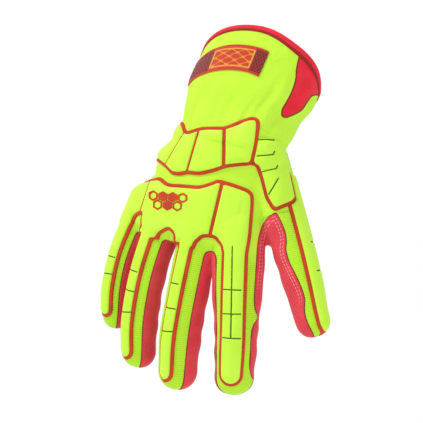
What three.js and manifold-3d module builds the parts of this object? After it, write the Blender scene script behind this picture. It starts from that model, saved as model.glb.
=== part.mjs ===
// A right-hand impact glove with a long slip-on cuff, shown with the form that a hand gives it.
// Millimetres. The origin is the middle of the wrist, the fingers point down (-Z),
// the back of the hand faces -Y and the thumb is on the +X side.
import * as THREE from "three";
import { mergeVertices } from "three/addons/utils/BufferGeometryUtils.js";
import Module from "manifold-3d";

const wasm = await Module();
wasm.setup();

// Driving sizes

const palm = { breadth: 100, length: 100, knuckleWidth: 108, knuckleDepth: 34, arch: 5 };
const wrist = { width: 84, depth: 54 };
const cuff = { length: 90, width: 98, depth: 78, lean: 18, seam: 14 };
// The mouth's rim lies at its level over the middle of the sleeve, and slopes up to the back of
// the hand and down to the palm by rise and fall, in millimetres a millimetre.
const rim = { level: 58.5, rise: 0.95, fall: 0.62, turn: 8, middle: 0.61 };
const wall = 2;
const gap = 0.3;
const guard = { base: 1.2, pad: 2.5, border: 2.3, divider: 2.4 };
const binding = { height: 4.5, proud: 0.7 };
const label = { thick: 0.9, top: 18.5, bottom: 41, from: -66, to: 25 };
// A cell is the distance from the middle of a six-sided cell to its corners.
const emblem = { thick: 0.6, cell: 4.2, row: 4, across: -0.355, up: -0.535, tilt: 12 };
// The gloved hand is drawn from a little towards its thumb, and outlines face that way.
const viewTurn = 25;
// Where the fingers and the thumb are sewn to the hand, and the height of the palm's side seam.
const fingerSeam = 86;
const sideSeam = 3;
// How far round the sides the guards reach.
const backHalf = 6;
// Slack around a finger that still takes in the whole of its own wall and none of the next.
const margin = 1.1;
// Beyond everything, for cutters.
const far = 400;
const facets = { body: 20, finger: 10 };

// One row a finger: root is a share of the palm's breadth, depth and length, and each finger
// has three bones with their share of the length, their splay towards +X and their curl to +Y.
const fingers = [
  {
    name: "index",
    root: [0.214, -0.03, -0.58],
    length: 113,
    radius: 15.4,
    rootGirth: 1.3,
    taper: 0,
    turn: 12.5,
    seam: 56,
    strip: { from: 0.16, to: 0.955, wide: 0.54 },
    bones: [
      { share: 0.467, splay: 11.7, curl: 5.7 },
      { share: 0.302, splay: 9.4, curl: 12.3 },
      { share: 0.231, splay: 5, curl: 18.4 },
    ],
  },
  {
    name: "middle",
    root: [-0.08, -0.09, -0.6],
    length: 118,
    radius: 15.9,
    rootGirth: 1.02,
    taper: 0,
    turn: -18,
    seam: 67,
    strip: { from: 0.12, to: 0.99, wide: 0.48 },
    bones: [
      { share: 0.453, splay: 0, curl: 6.6 },
      { share: 0.311, splay: -0.5, curl: 12.9 },
      { share: 0.236, splay: 3, curl: 17.1 },
    ],
  },
  {
    name: "ring",
    root: [-0.397, 0, -0.58],
    length: 115,
    radius: 14.2,
    rootGirth: 1.03,
    taper: 0,
    turn: -24,
    seam: 64,
    strip: { from: 0.12, to: 0.98, wide: 0.49 },
    bones: [
      { share: 0.459, splay: -6.7, curl: 6.8 },
      { share: 0.316, splay: -1.2, curl: 13.2 },
      { share: 0.225, splay: 4.4, curl: 18.8 },
    ],
  },
  {
    name: "pinky",
    root: [-0.611, 0.17, -0.56],
    length: 97,
    radius: 11.4,
    rootGirth: 1.05,
    taper: 0,
    turn: -26,
    seam: 62,
    strip: { from: 0.2, to: 0.937, wide: 0.52 },
    bones: [
      { share: 0.467, splay: -13.9, curl: 9.5 },
      { share: 0.299, splay: -4.9, curl: 14.5 },
      { share: 0.234, splay: 3.5, curl: 16 },
    ],
  },
];

const thumb = {
  name: "thumb",
  root: [0.245, 0.18, -0.02],
  length: 128.2,
  radius: 14.4,
  rootGirth: 1.5,
  taper: 0.14,
  turn: 85,
  seam: 71,
  cut: 0.57,
  strip: { from: 0.36, to: 1.01, wide: 0.6 },
  bones: [
    { share: 0.49, splay: 30.6, curl: 6.6 },
    { share: 0.285, splay: 30.4, curl: 5.6 },
    { share: 0.225, splay: 29.2, curl: 7.1 },
  ],
};

// Sections of the sleeve from the wrist up: at is a share of the cuff's length, wide and deep
// go from the wrist's size (0) to the mouth's (1), and lean is the share of the cuff's lean.
const cuffRows = [
  { at: 0.07, wide: 0, deep: 0, lean: 0, side: -0.029 },
  { at: 0.17, wide: 0.3, deep: 0.12, lean: 0.06, side: -0.03 },
  { at: 0.31, wide: 0.61, deep: 0.38, lean: 0.25, side: -0.039 },
  { at: 0.46, wide: 1.12, deep: 0.67, lean: 0.44, side: -0.021 },
  { at: 0.67, wide: 0.86, deep: 0.92, lean: 0.67, side: 0.0 },
  { at: 1.0, wide: 1.0, deep: 1.0, lean: 1.0, side: 0.012 },
  { at: 1.2, wide: 1.05, deep: 1.02, lean: 1.15, side: 0.02 },
];

// Sections of the hand from the wrist down: at is a share of the palm's length, wide and deep
// go from the wrist's size (0) to the knuckles' (1), and side is a share of the breadth.
const palmRows = [
  { at: 0.05, wide: 0.09, deep: 0.2, arch: 0, side: -0.03 },
  { at: 0.27, wide: 0.5, deep: 0.52, arch: 0.3, side: -0.102 },
  { at: 0.4, wide: 0.54, deep: 0.62, arch: 0.5, side: -0.092 },
  { at: 0.6, wide: 0.9, deep: 0.8, arch: 0.8, side: -0.13 },
  { at: 0.74, wide: 1.0, deep: 1.0, arch: 1, side: -0.135 },
  { at: 0.82, wide: 0.75, deep: 1.5, arch: 1, side: -0.135 },
];

// The skin between the thumb and the palm: shares of the palm's breadth and length.
const webRows = [
  { at: 0.04, x: 0.24, y: 0.05, wide: 0.12, deep: 0.15 },
  { at: 0.2, x: 0.33, y: 0.06, wide: 0.16, deep: 0.16 },
  { at: 0.36, x: 0.4, y: 0.07, wide: 0.18, deep: 0.14 },
  { at: 0.5, x: 0.44, y: 0.08, wide: 0.18, deep: 0.11 },
  { at: 0.6, x: 0.455, y: 0.09, wide: 0.14, deep: 0.08 },
  { at: 0.66, x: 0.45, y: 0.09, wide: 0.07, deep: 0.045 },
];

// How far an inner form runs on past the mouth, so that it leaves the mouth open.
const pastRim = 12;

// Soft folds of the sleeve: turn from the back of the hand in degrees, from and to along the
// cuff's length, depth in millimetres (below zero stands out) and width in degrees.
const cuffFolds = [
  { turn: 62, from: 0.1, to: 0.8, depth: 2.6, width: 9 },
  { turn: 44, from: 0.15, to: 0.9, depth: -1.2, width: 10 },
  { turn: -70, from: 0.05, to: 0.6, depth: 1.6, width: 12 },
  { turn: 140, from: 0.1, to: 0.9, depth: 2.4, width: 12 },
  { turn: -150, from: 0.1, to: 0.8, depth: 2, width: 14 },
];

// Outlines of the impact guards, as seen from viewTurn, in shares of the palm's breadth and
// length: the middle of the red border that frames each of them.
const wristOutline = [
  [-0.62, -0.22],
  [-0.53, -0.255],
  [-0.46, -0.282],
  [-0.394, -0.325],
  [-0.342, -0.317],
  [-0.287, -0.29],
  [-0.197, -0.278],
  [-0.109, -0.231],
  [-0.023, -0.173],
  [0.075, -0.135],
  [0.139, -0.114],
  [0.151, -0.09],
  [0.147, 0.0],
  [0.126, 0.181],
  [0.105, 0.212],
  [0.061, 0.207],
  [-0.005, 0.162],
  [-0.102, 0.089],
  [-0.211, 0.064],
  [-0.283, 0.041],
  [-0.376, -0.015],
  [-0.425, 0.065],
  [-0.62, 0.09],
];
const backOutline = [
  [-0.72, -0.52],
  [-0.605, -0.465],
  [-0.533, -0.415],
  [-0.478, -0.388],
  [-0.407, -0.423],
  [-0.282, -0.398],
  [-0.17, -0.379],
  [-0.084, -0.325],
  [-0.052, -0.297],
  [0.081, -0.301],
  [0.184, -0.312],
  [0.224, -0.344],
  [0.286, -0.692],
  [0.275, -0.79],
  [0.128, -0.797],
  [0.098, -0.742],
  [0.03, -0.698],
  [-0.057, -0.714],
  [-0.1, -0.78],
  [-0.103, -0.83],
  [-0.245, -0.82],
  [-0.26, -0.75],
  [-0.315, -0.726],
  [-0.374, -0.776],
  [-0.395, -0.85],
  [-0.525, -0.83],
  [-0.515, -0.7],
  [-0.544, -0.666],
  [-0.585, -0.7],
  [-0.612, -0.8],
  [-0.75, -0.8],
];
const thumbBaseOutline = [
  [0.139, -0.114],
  [0.191, -0.104],
  [0.252, -0.189],
  [0.297, -0.27],
  [0.327, -0.324],
  [0.401, -0.397],
  [0.459, -0.351],
  [0.515, -0.308],
  [0.53, -0.25],
  [0.518, -0.18],
  [0.482, -0.119],
  [0.447, -0.074],
  [0.4, -0.03],
  [0.345, 0.03],
  [0.3, 0.1],
  [0.14, 0.075],
];
// The guard at the thumb's base has a red edge below this share of the palm's length.
const thumbBaseBare = -0.09;
// Lines that part the pads of a guard: the share of the breadth where each crosses two heights.
const wristDividers = [
  { high: 0.12, low: -0.35, top: -0.342, bottom: -0.493 },
  { high: 0.12, low: -0.35, top: -0.283, bottom: -0.289 },
  { high: 0.25, low: -0.35, top: -0.157, bottom: 0.021 },
];
const backDivider = { high: -0.2, low: -0.9, top: -0.032, bottom: 0.004 };

// The red leather that shows between the thumb and the index finger, and the red patch that
// runs down from the mouth's rim, both as seen from viewTurn.
const webLeather = [
  [0.39, -0.41],
  [0.35, -0.53],
  [0.35, -0.68],
  [0.4, -0.95],
  [0.62, -0.95],
  [0.56, -0.66],
  [0.52, -0.535],
  [0.47, -0.47],
  [0.424, -0.42],
];
const patchOutline = [
  [0.288, 0.95],
  [0.289, 0.66],
  [0.309, 0.572],
  [0.305, 0.485],
  [0.288, 0.403],
  [0.267, 0.336],
  [0.275, 0.291],
  [0.305, 0.28],
  [0.364, 0.323],
  [0.413, 0.371],
  [0.43, 0.43],
  [0.461, 0.512],
  [0.7, 0.58],
  [0.7, 0.95],
];

const radians = THREE.MathUtils.degToRad;

function mix(a, b, share) {
  return a + (b - a) * share;
}

// Value of a column at a height, straight between the rows of a table sorted by at.
function column(rows, at, key) {
  const first = rows[0];
  if (at <= first.at) return first[key];
  for (let i = 1; i < rows.length; i++) {
    const high = rows[i];
    const low = rows[i - 1];
    if (at <= high.at) return mix(low[key], high[key], (at - low.at) / (high.at - low.at));
  }
  return rows[rows.length - 1][key];
}

// Solids and booleans

function toSolid(geometry) {
  geometry.deleteAttribute("normal");
  geometry.deleteAttribute("uv");
  const merged = mergeVertices(geometry, 1e-4);
  return new wasm.Manifold(
    new wasm.Mesh({
      numProp: 3,
      vertProperties: new Float32Array(merged.attributes.position.array),
      triVerts: new Uint32Array(merged.index.array),
    }),
  );
}

// Closes a row of rings into one solid with a point at both ends. Each ring is a list of points
// that run anticlockwise about the way from ring to ring, as the frames below have it.
function loft(rings) {
  const count = rings[0].length;
  const points = rings.flat();
  const ends = [rings[0], rings[rings.length - 1]].map((ring) =>
    ring.reduce((sum, p) => sum.add(p), new THREE.Vector3()).divideScalar(count),
  );
  const index = [];
  for (let r = 0; r + 1 < rings.length; r++) {
    for (let i = 0; i < count; i++) {
      const a = r * count + i;
      const b = r * count + ((i + 1) % count);
      index.push(a, b, b + count, a, b + count, a + count);
    }
  }
  const last = (rings.length - 1) * count;
  for (let i = 0; i < count; i++) {
    const next = (i + 1) % count;
    index.push(points.length, next, i);
    index.push(points.length + 1, last + i, last + next);
  }
  const geometry = new THREE.BufferGeometry().setFromPoints([...points, ...ends]);
  geometry.setIndex(index);
  return toSolid(geometry);
}

// The plane that faces a turn from the back of the hand: across runs to +X as seen from there.
function facing(turn) {
  const angle = radians(turn);
  return {
    out: new THREE.Vector3(Math.sin(angle), -Math.cos(angle), 0),
    across: new THREE.Vector3(Math.cos(angle), Math.sin(angle), 0),
  };
}

// A prism over an outline of [across, up] points, from start to end along the facing direction.
function prism(outline, turn, start, end) {
  const shape = new THREE.Shape(outline.map(([u, z]) => new THREE.Vector2(u, z)));
  const geometry = new THREE.ExtrudeGeometry(shape, { depth: end - start, bevelEnabled: false });
  const { out, across } = facing(turn);
  const up = new THREE.Vector3(0, 0, 1);
  const place = out.clone().multiplyScalar(start);
  geometry.applyMatrix4(new THREE.Matrix4().makeBasis(across, up, out).setPosition(place));
  return toSolid(geometry);
}

// Moves each side of a closed outline outwards (or inwards, below zero).
function grown(outline, by) {
  const area = outline.reduce((sum, [x, y], i) => {
    const [u, v] = outline[(i + 1) % outline.length];
    return sum + x * v - u * y;
  }, 0);
  const side = Math.sign(area) * by;
  return outline.map((point, i) => {
    const here = new THREE.Vector2(...point);
    const before = new THREE.Vector2(...outline.at(i - 1));
    const after = new THREE.Vector2(...outline[(i + 1) % outline.length]);
    const a = here.clone().sub(before).normalize();
    const b = after.clone().sub(here).normalize();
    const normal = new THREE.Vector2(a.y + b.y, -a.x - b.x);
    const scale = side / Math.max(0.5, 0.5 * normal.lengthSq());
    return [here.x + normal.x * scale, here.y + normal.y * scale];
  });
}

// The form of the hand

function power(value, exponent) {
  return Math.sign(value) * Math.abs(value) ** exponent;
}

// Width, depth and middle of the sleeve and the hand at a height.
function sectionAt(z) {
  if (z >= 0) {
    const at = z / cuff.length;
    return {
      wide: mix(wrist.width, cuff.width, column(cuffRows, at, "wide")) / 2,
      deep: mix(wrist.depth, cuff.depth, column(cuffRows, at, "deep")) / 2,
      x: palm.breadth * column(cuffRows, at, "side"),
      y: cuff.lean * column(cuffRows, at, "lean"),
      arch: 0,
    };
  }
  const at = -z / palm.length;
  return {
    wide: mix(wrist.width, palm.knuckleWidth, column(palmRows, at, "wide")) / 2,
    deep: mix(wrist.depth, palm.knuckleDepth, column(palmRows, at, "deep")) / 2,
    x: palm.breadth * column(palmRows, at, "side"),
    y: 0,
    arch: palm.arch * column(palmRows, at, "arch"),
  };
}

function foldDepth(turn, z) {
  const at = z / cuff.length;
  return cuffFolds.reduce((sum, fold) => {
    const middle = (fold.from + fold.to) / 2;
    const along = (at - middle) / ((fold.to - fold.from) / 2);
    if (Math.abs(along) >= 1) return sum;
    const away = ((turn - fold.turn + 540) % 360) - 180;
    return sum + fold.depth * (1 - along * along) * Math.exp(-((away / fold.width) ** 2));
  }, 0);
}

function sectionPoint(angle, z, grow) {
  const s = sectionAt(z);
  const turn = THREE.MathUtils.radToDeg(angle) + 90;
  const out = grow - (z > 0 ? foldDepth(turn, z) : 0);
  const u = power(Math.cos(angle), 0.92);
  const v = power(Math.sin(angle), 0.92);
  const x = s.x + (s.wide + out) * u;
  const y = s.y + (s.deep + out) * v + s.arch * u * u;
  return new THREE.Vector3(x, y, z);
}

function ringAngles(count) {
  return Array.from({ length: count }, (_, i) => (2 * Math.PI * i) / count);
}

// Height of the rim by the distance in front of the line where its slope changes.
function rimSlope(ahead) {
  return rim.level + ahead * (ahead > 0 ? rim.rise : rim.fall);
}

// Height of the rim on the sleeve at an angle, found in a few steps.
function rimHeight(angle) {
  const { out } = facing(rim.turn);
  let z = rim.level;
  for (let step = 0; step < 12; step++) {
    const ahead = sectionPoint(angle, z, 0).dot(out) + rim.middle * cuff.lean;
    z = mix(z, rimSlope(ahead), 0.5);
  }
  return z;
}

// The sleeve and hand as one solid, which runs on past the mouth's rim.
function bodyForm(grow) {
  const shares = [0, 0.26, 0.53, 0.8];
  const angles = ringAngles(facets.body);
  const rings = palmRows
    .map((row) => row.at)
    .reverse()
    .map((at, i) => (i === 0 ? at + grow / palm.length : at))
    .map((at) => angles.map((angle) => sectionPoint(angle, -at * palm.length, grow)));
  rings.push(angles.map((angle) => sectionPoint(angle, cuff.seam / 2, grow)));
  for (const share of shares) {
    const height = (angle) => mix(cuff.seam, rimHeight(angle), share);
    rings.push(angles.map((angle) => sectionPoint(angle, height(angle), grow)));
  }
  rings.push(angles.map((angle) => sectionPoint(angle, rimHeight(angle) + pastRim, grow)));
  return loft(rings);
}

function bonePoints(finger) {
  const [x, y, z] = finger.root;
  const points = [new THREE.Vector3(x * palm.breadth, y * palm.knuckleDepth, z * palm.length)];
  for (const bone of finger.bones) {
    const way = new THREE.Vector3(Math.tan(radians(bone.splay)), Math.tan(radians(bone.curl)), -1);
    way.normalize().multiplyScalar(bone.share * finger.length);
    points.push(points.at(-1).clone().add(way));
  }
  return points;
}

function fingerPath(finger) {
  return new THREE.CatmullRomCurve3(bonePoints(finger), false, "centripetal");
}

// Girth along a finger: full at its root, slimmer past the middle joint, and rounder at the tip.
// taper is the share of the finger's own taper.
const girthRows = [
  { at: 0, root: 1, girth: 1.0, taper: 0 },
  { at: 0.36, root: 0.85, girth: 1.0, taper: 0 },
  { at: 0.56, root: 0.4, girth: 1.0, taper: 0 },
  { at: 0.78, root: 0, girth: 1.02, taper: 0.4 },
  { at: 1, root: 0, girth: 0.95, taper: 1 },
];
const radiusAt = (finger, row) => finger.radius * row.girth * (1 - finger.taper * row.taper);
const tipRows = [
  { ahead: 0.45, girth: 0.87 },
  { ahead: 0.8, girth: 0.58 },
  { ahead: 0.95, girth: 0.22 },
];
const fingerDepth = 0.95;

// The root of each finger runs on into the palm: back is the share of the way to the wrist.
const heelRows = [
  { back: 0.55, girth: 0.45 },
  { back: 0.3, girth: 0.82 },
];

function fingerFrame(finger, tangent) {
  const out = facing(finger.turn).out;
  const across = new THREE.Vector3().crossVectors(out, tangent).normalize();
  return { across, out: new THREE.Vector3().crossVectors(tangent, across).normalize() };
}

function fingerForm(finger, grow) {
  const path = fingerPath(finger);
  const ring = (centre, frame, wide, deep) =>
    ringAngles(facets.finger).map((angle) =>
      centre
        .clone()
        .addScaledVector(frame.across, (wide + grow) * Math.cos(angle))
        .addScaledVector(frame.out, (deep + grow) * Math.sin(angle)),
    );
  const rings = [];
  const root = path.getPointAt(0);
  for (const row of heelRows) {
    const centre = root.clone().multiply(new THREE.Vector3(1 - row.back * 0.5, 1, 1 - row.back));
    const wide = finger.radius * finger.rootGirth * row.girth;
    const deep = finger.radius * fingerDepth * row.girth;
    rings.push(ring(centre, fingerFrame(finger, path.getTangentAt(0)), wide, deep));
  }
  for (const row of girthRows) {
    const frame = fingerFrame(finger, path.getTangentAt(row.at));
    const wide = radiusAt(finger, row) * mix(1, finger.rootGirth, row.root);
    const deep = radiusAt(finger, row) * fingerDepth;
    rings.push(ring(path.getPointAt(row.at), frame, wide, deep));
  }
  const end = path.getPointAt(1);
  const ahead = path.getTangentAt(1);
  const frame = fingerFrame(finger, ahead);
  const tip = radiusAt(finger, girthRows.at(-1));
  for (const row of tipRows) {
    const centre = end.clone().addScaledVector(ahead, (tip + grow) * row.ahead);
    rings.push(ring(centre, frame, tip * row.girth, tip * fingerDepth * row.girth));
  }
  return loft(rings);
}

// The web's rings run up from its free edge, which the growth lowers.
function webForm(grow) {
  const rings = [...webRows].reverse().map((row, i) => {
    const last = i === 0 ? grow / palm.length : 0;
    return ringAngles(facets.finger).map(
      (angle) =>
        new THREE.Vector3(
          row.x * palm.breadth + (row.wide * palm.breadth + grow) * Math.cos(angle),
          row.y * palm.breadth + (row.deep * palm.breadth + grow) * Math.sin(angle),
          -(row.at + last) * palm.length,
        ),
    );
  });
  return loft(rings);
}

function handForm(grow) {
  const tubes = [...fingers, thumb].map((finger) => fingerForm(finger, grow));
  return tubes.reduce((sum, tube) => sum.add(tube), bodyForm(grow).add(webForm(grow)));
}

// A skin of the hand between two distances from the fabric's face.
function layer(low, high) {
  return handForm(high).subtract(handForm(low));
}

// Everything higher than a distance under the mouth's rim.
function aboveRim(drop) {
  const { out, across } = facing(rim.turn);
  const middle = -rim.middle * cuff.lean;
  const line = [-far / 2, middle, far / 2].map((s) => [s, rimSlope(s - middle) - drop]);
  const outline = [...line, [far / 2, far], [-far / 2, far]];
  const shape = new THREE.Shape(outline.map(([x, z]) => new THREE.Vector2(x, z)));
  const geometry = new THREE.ExtrudeGeometry(shape, { depth: far, bevelEnabled: false });
  geometry.translate(0, 0, -far / 2);
  const up = new THREE.Vector3(0, 0, 1);
  return toSolid(geometry.applyMatrix4(new THREE.Matrix4().makeBasis(out, up, across.negate())));
}

// Cutters that part the form into pieces

function box(width, depth, height) {
  return new THREE.BoxGeometry(width, depth, height);
}

function between(low, high) {
  return toSolid(box(far, far, high - low).translate(0, 0, (low + high) / 2));
}

// Everything past a share of a finger's length, as a block square to its path.
function beyond(finger, share, early) {
  const path = fingerPath(finger);
  const tangent = path.getTangentAt(share);
  const { across, out } = fingerFrame(finger, tangent);
  const size = 4 * finger.radius;
  const block = box(size, size, far).translate(0, 0, far / 2 - early);
  const start = path.getPointAt(share);
  const frame = new THREE.Matrix4().makeBasis(across, out, tangent).setPosition(start);
  return toSolid(block.applyMatrix4(frame));
}

// A bar of four-cornered sections along a finger, from one depth to another under its back.
// rows give the share of its path, the distance ahead of that and half the bar's width.
function bar(finger, rows, low, high) {
  const path = fingerPath(finger);
  const rings = rows.map(({ at, ahead, half }) => {
    const tangent = path.getTangentAt(at);
    const { across, out } = fingerFrame(finger, tangent);
    const centre = path.getPointAt(at).addScaledVector(tangent, ahead);
    const corners = [
      [-half, low],
      [half, low],
      [half, high],
      [-half, high],
    ];
    return corners.map(([u, v]) =>
      centre.clone().addScaledVector(across, u).addScaledVector(out, v),
    );
  });
  return loft(rings);
}

// The palm side of a finger, up to the seam beside its back. extra widens it.
function palmarBar(finger, from, extra) {
  const half = finger.radius * finger.rootGirth + 3 * margin + extra;
  const stations = [from, ...girthRows.map((row) => row.at).filter((at) => at > from)];
  const rows = stations.map((at) => ({ at, ahead: 0, half }));
  rows.push({ at: 1, ahead: 2 * finger.radius, half });
  const top = finger.radius * fingerDepth * Math.cos(radians(finger.seam)) + extra;
  return bar(finger, rows, -3 * finger.radius, top);
}

// The strip of a guard along a finger's back, rounded at the tip. extra widens it.
function stripBar(finger, extra) {
  const { from, to, wide } = finger.strip;
  const half = finger.radius * wide + extra;
  const rows = [0, 0.5, 1].map((share) => ({
    at: Math.min(1, mix(from, to, share)),
    ahead: Math.max(0, mix(from, to, share) - 1) * finger.length,
    half,
  }));
  const { at, ahead } = rows.at(-1);
  for (const turn of [35, 65]) {
    const along = half * Math.sin(radians(turn));
    rows.push({ at, ahead: ahead + along, half: half * Math.cos(radians(turn)) });
  }
  return bar(finger, rows, 0, 3 * finger.radius);
}

// A wedge of turns about the vertical axis, less than half a circle.
function wedge(from, to) {
  const edge = (turn) => facing(turn).out.multiplyScalar(far);
  const shape = new THREE.Shape([new THREE.Vector2(), edge(from), edge((from + to) / 2), edge(to)]);
  const geometry = new THREE.ExtrudeGeometry(shape, { depth: far, bevelEnabled: false });
  return toSolid(geometry.translate(0, 0, -far / 2));
}

function sized(outline) {
  return outline.map(([across, up]) => [across * palm.breadth, up * palm.length]);
}

// A prism over an outline that is drawn as seen from viewTurn, on the back half of the glove.
function facingPrism(outline, extra) {
  const front = box(far, far, far).translate(0, backHalf - far / 2, 0);
  return prism(grown(sized(outline), extra), viewTurn, -palm.breadth, far).intersect(toSolid(front));
}

// The part of a guard between two dividers, each kept half a divider's width away. Only what has
// no divider on its left reaches round to the far side.
function panelPrism(left, right) {
  const open = { high: 0.4, low: -1, top: 0, bottom: 0 };
  const a = left ?? { ...open, top: -0.9, bottom: -0.9 };
  const b = right ?? { ...open, top: 0.6, bottom: 0.6 };
  const half = guard.divider / 2 / palm.breadth;
  const outline = [
    [a.top + half, a.high],
    [a.bottom + half, a.low],
    [b.bottom - half, b.low],
    [b.top - half, b.high],
  ];
  return prism(sized(outline), viewTurn, left ? -wrist.width / 8 : -palm.breadth, far);
}

// Fabric and leather

const shell = layer(-wall, 0);
const hand = between(-fingerSeam + gap / 2, cuff.seam - gap / 2);
const thumbRegion = (early) => fingerForm(thumb, margin).intersect(beyond(thumb, thumb.cut, early));
const handShell = shell.intersect(hand).subtract(thumbRegion(gap));
const palmSide = (extra) => {
  const slab = box(far, far, far).translate(0, sideSeam - extra + far / 2, 0);
  return toSolid(slab).add(prism(grown(sized(webLeather), extra), viewTurn, -far, far));
};
// A finger's own space below its seam, clear of the fingers beside it.
const fingerRegion = (finger) =>
  finger === thumb
    ? thumbRegion(0)
    : fingers
        .filter((other) => other !== finger)
        .reduce((space, other) => space.subtract(fingerForm(other, gap)), fingerForm(finger, margin))
        .intersect(between(-far, -fingerSeam - gap / 2));

// A band of the sleeve: low and high from its face, top and bottom under the rim.
const band = (low, high, top, bottom) =>
  bodyForm(high).subtract(bodyForm(low)).intersect(aboveRim(bottom)).subtract(aboveRim(top));
const cuffShell = bodyForm(0)
  .subtract(bodyForm(-wall))
  .subtract(aboveRim(binding.height + gap))
  .intersect(between(cuff.seam + gap / 2, far));

// Guards: a red base on the fabric and lime pads on the base

const baseLayer = layer(gap, gap + guard.base);
const padLow = gap + guard.base + gap;
const padTop = padLow + guard.pad;
const padLayer = layer(padLow, padTop);
const edge = guard.border / 2;
const backStrips = (list, extra, prismShape) =>
  list.reduce((sum, finger) => sum.add(stripBar(finger, extra)), prismShape);
const [index, ...others] = fingers;
const wristPrism = (extra) => facingPrism(wristOutline, extra);
const backPrism = (extra) => facingPrism(backOutline, extra);
// How far a guard's base or pad stays from the outline of the guard that it runs up to.
const clear = (extra) => guard.border + gap - extra;
const thumbBasePrism = (extra) =>
  facingPrism(thumbBaseOutline, extra).subtract(wristPrism(clear(extra)));
// The pad there keeps back from the guard's edge, which shows red, only below a level.
const thumbBasePadPrism = thumbBasePrism(edge)
  .intersect(between(thumbBaseBare * palm.length, far))
  .add(thumbBasePrism(-edge));
const thumbStrip = (extra) =>
  stripBar(thumb, extra).subtract(facingPrism(thumbBaseOutline, clear(extra)));

// A cluster of six-sided cells in two rows, joined where they touch.
function cells({ cell, row, across, up, tilt }) {
  const spread = 0.96;
  const pitch = Math.sqrt(3) * cell * spread;
  const turned = ([x, z]) => {
    const [cos, sin] = [Math.cos(radians(tilt)), Math.sin(radians(tilt))];
    return [across * palm.breadth + x * cos - z * sin, up * palm.length + x * sin + z * cos];
  };
  const rows = [row, row - 1];
  return rows
    .flatMap((count, i) =>
      Array.from({ length: count }, (_, k) => [
        (k - (count - 1) / 2) * pitch,
        (0.5 - i) * 1.5 * cell * spread,
      ]),
    )
    .map(([x, z]) => {
      const corners = ringAngles(6).map((angle) =>
        turned([x + cell * Math.sin(angle), z + cell * Math.cos(angle)]),
      );
      return prism(corners, viewTurn, 0, far);
    })
    .reduce((a, b) => a.add(b));
}

const colours = {
  lime: { color: 0xc8ff50, roughness: 0.75, metalness: 0 },
  knit: { color: 0xb9ee3c, roughness: 0.9, metalness: 0 },
  leather: { color: 0xc83c46, roughness: 0.8, metalness: 0 },
  red: { color: 0xd4421c, roughness: 0.5, metalness: 0 },
  pad: { color: 0xc4fb45, roughness: 0.5, metalness: 0 },
  trim: { color: 0xe02844, roughness: 0.7, metalness: 0 },
};

const group = new THREE.Group();

function addPiece(name, colour, shape) {
  const m = shape.getMesh();
  const geometry = new THREE.BufferGeometry();
  geometry.setAttribute("position", new THREE.BufferAttribute(m.vertProperties, 3));
  geometry.setIndex(new THREE.BufferAttribute(m.triVerts, 1));
  const mesh = new THREE.Mesh(geometry, new THREE.MeshStandardMaterial(colours[colour]));
  mesh.name = name;
  group.add(mesh);
}

const patch = (extra) => facingPrism(patchOutline, extra);
addPiece("cuff", "lime", cuffShell.subtract(patch(gap)));
addPiece("cuff_patch", "trim", cuffShell.intersect(patch(0)));
addPiece("cuff_binding", "trim", band(-wall - binding.proud, binding.proud, 0, binding.height));
addPiece(
  "label",
  "red",
  band(gap, gap + label.thick, label.top, label.bottom).intersect(wedge(label.from, label.to)),
);

addPiece("back_panel", "lime", handShell.subtract(palmSide(gap)));
addPiece("palm_leather", "leather", handShell.intersect(palmSide(0)));
for (const finger of [...fingers, thumb]) {
  const tube = shell.intersect(fingerRegion(finger));
  const from = finger === thumb ? thumb.cut - 0.1 : 0.1;
  addPiece(finger.name + "_back", "knit", tube.subtract(palmarBar(finger, from, gap)));
  addPiece(finger.name + "_leather", "leather", tube.intersect(palmarBar(finger, from, 0)));
}

addPiece("wrist_guard", "red", baseLayer.intersect(wristPrism(edge)));
const wristPads = padLayer.intersect(wristPrism(-edge));
[null, ...wristDividers].forEach((left, i) => {
  const right = wristDividers[i] ?? null;
  addPiece("wrist_pad_" + (i + 1), "pad", wristPads.intersect(panelPrism(left, right)));
});

addPiece("back_guard", "red", baseLayer.intersect(backStrips(fingers, edge, backPrism(edge))));
const backPads = padLayer.intersect(backPrism(-edge));
const indexPad = backPads
  .intersect(panelPrism(backDivider, null))
  .add(padLayer.intersect(stripBar(index, -edge)));
const knucklePad = backPads
  .intersect(panelPrism(null, backDivider))
  .add(padLayer.intersect(others.map((f) => stripBar(f, -edge)).reduce((a, b) => a.add(b))));
addPiece("index_pad", "pad", indexPad);
addPiece("knuckle_pad", "pad", knucklePad);

addPiece("thumb_base_guard", "red", baseLayer.intersect(thumbBasePrism(edge)));
addPiece("thumb_base_pad", "pad", padLayer.intersect(thumbBasePadPrism));
addPiece("thumb_guard", "red", baseLayer.intersect(thumbStrip(edge)));
addPiece("thumb_pad", "pad", padLayer.intersect(thumbStrip(-edge)));

const mark = layer(padTop + gap, padTop + gap + emblem.thick);
addPiece("emblem", "red", mark.intersect(cells(emblem)));

export default group;
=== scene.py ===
import math

import bpy
import numpy as np
from mathutils import Matrix, Vector


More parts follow.
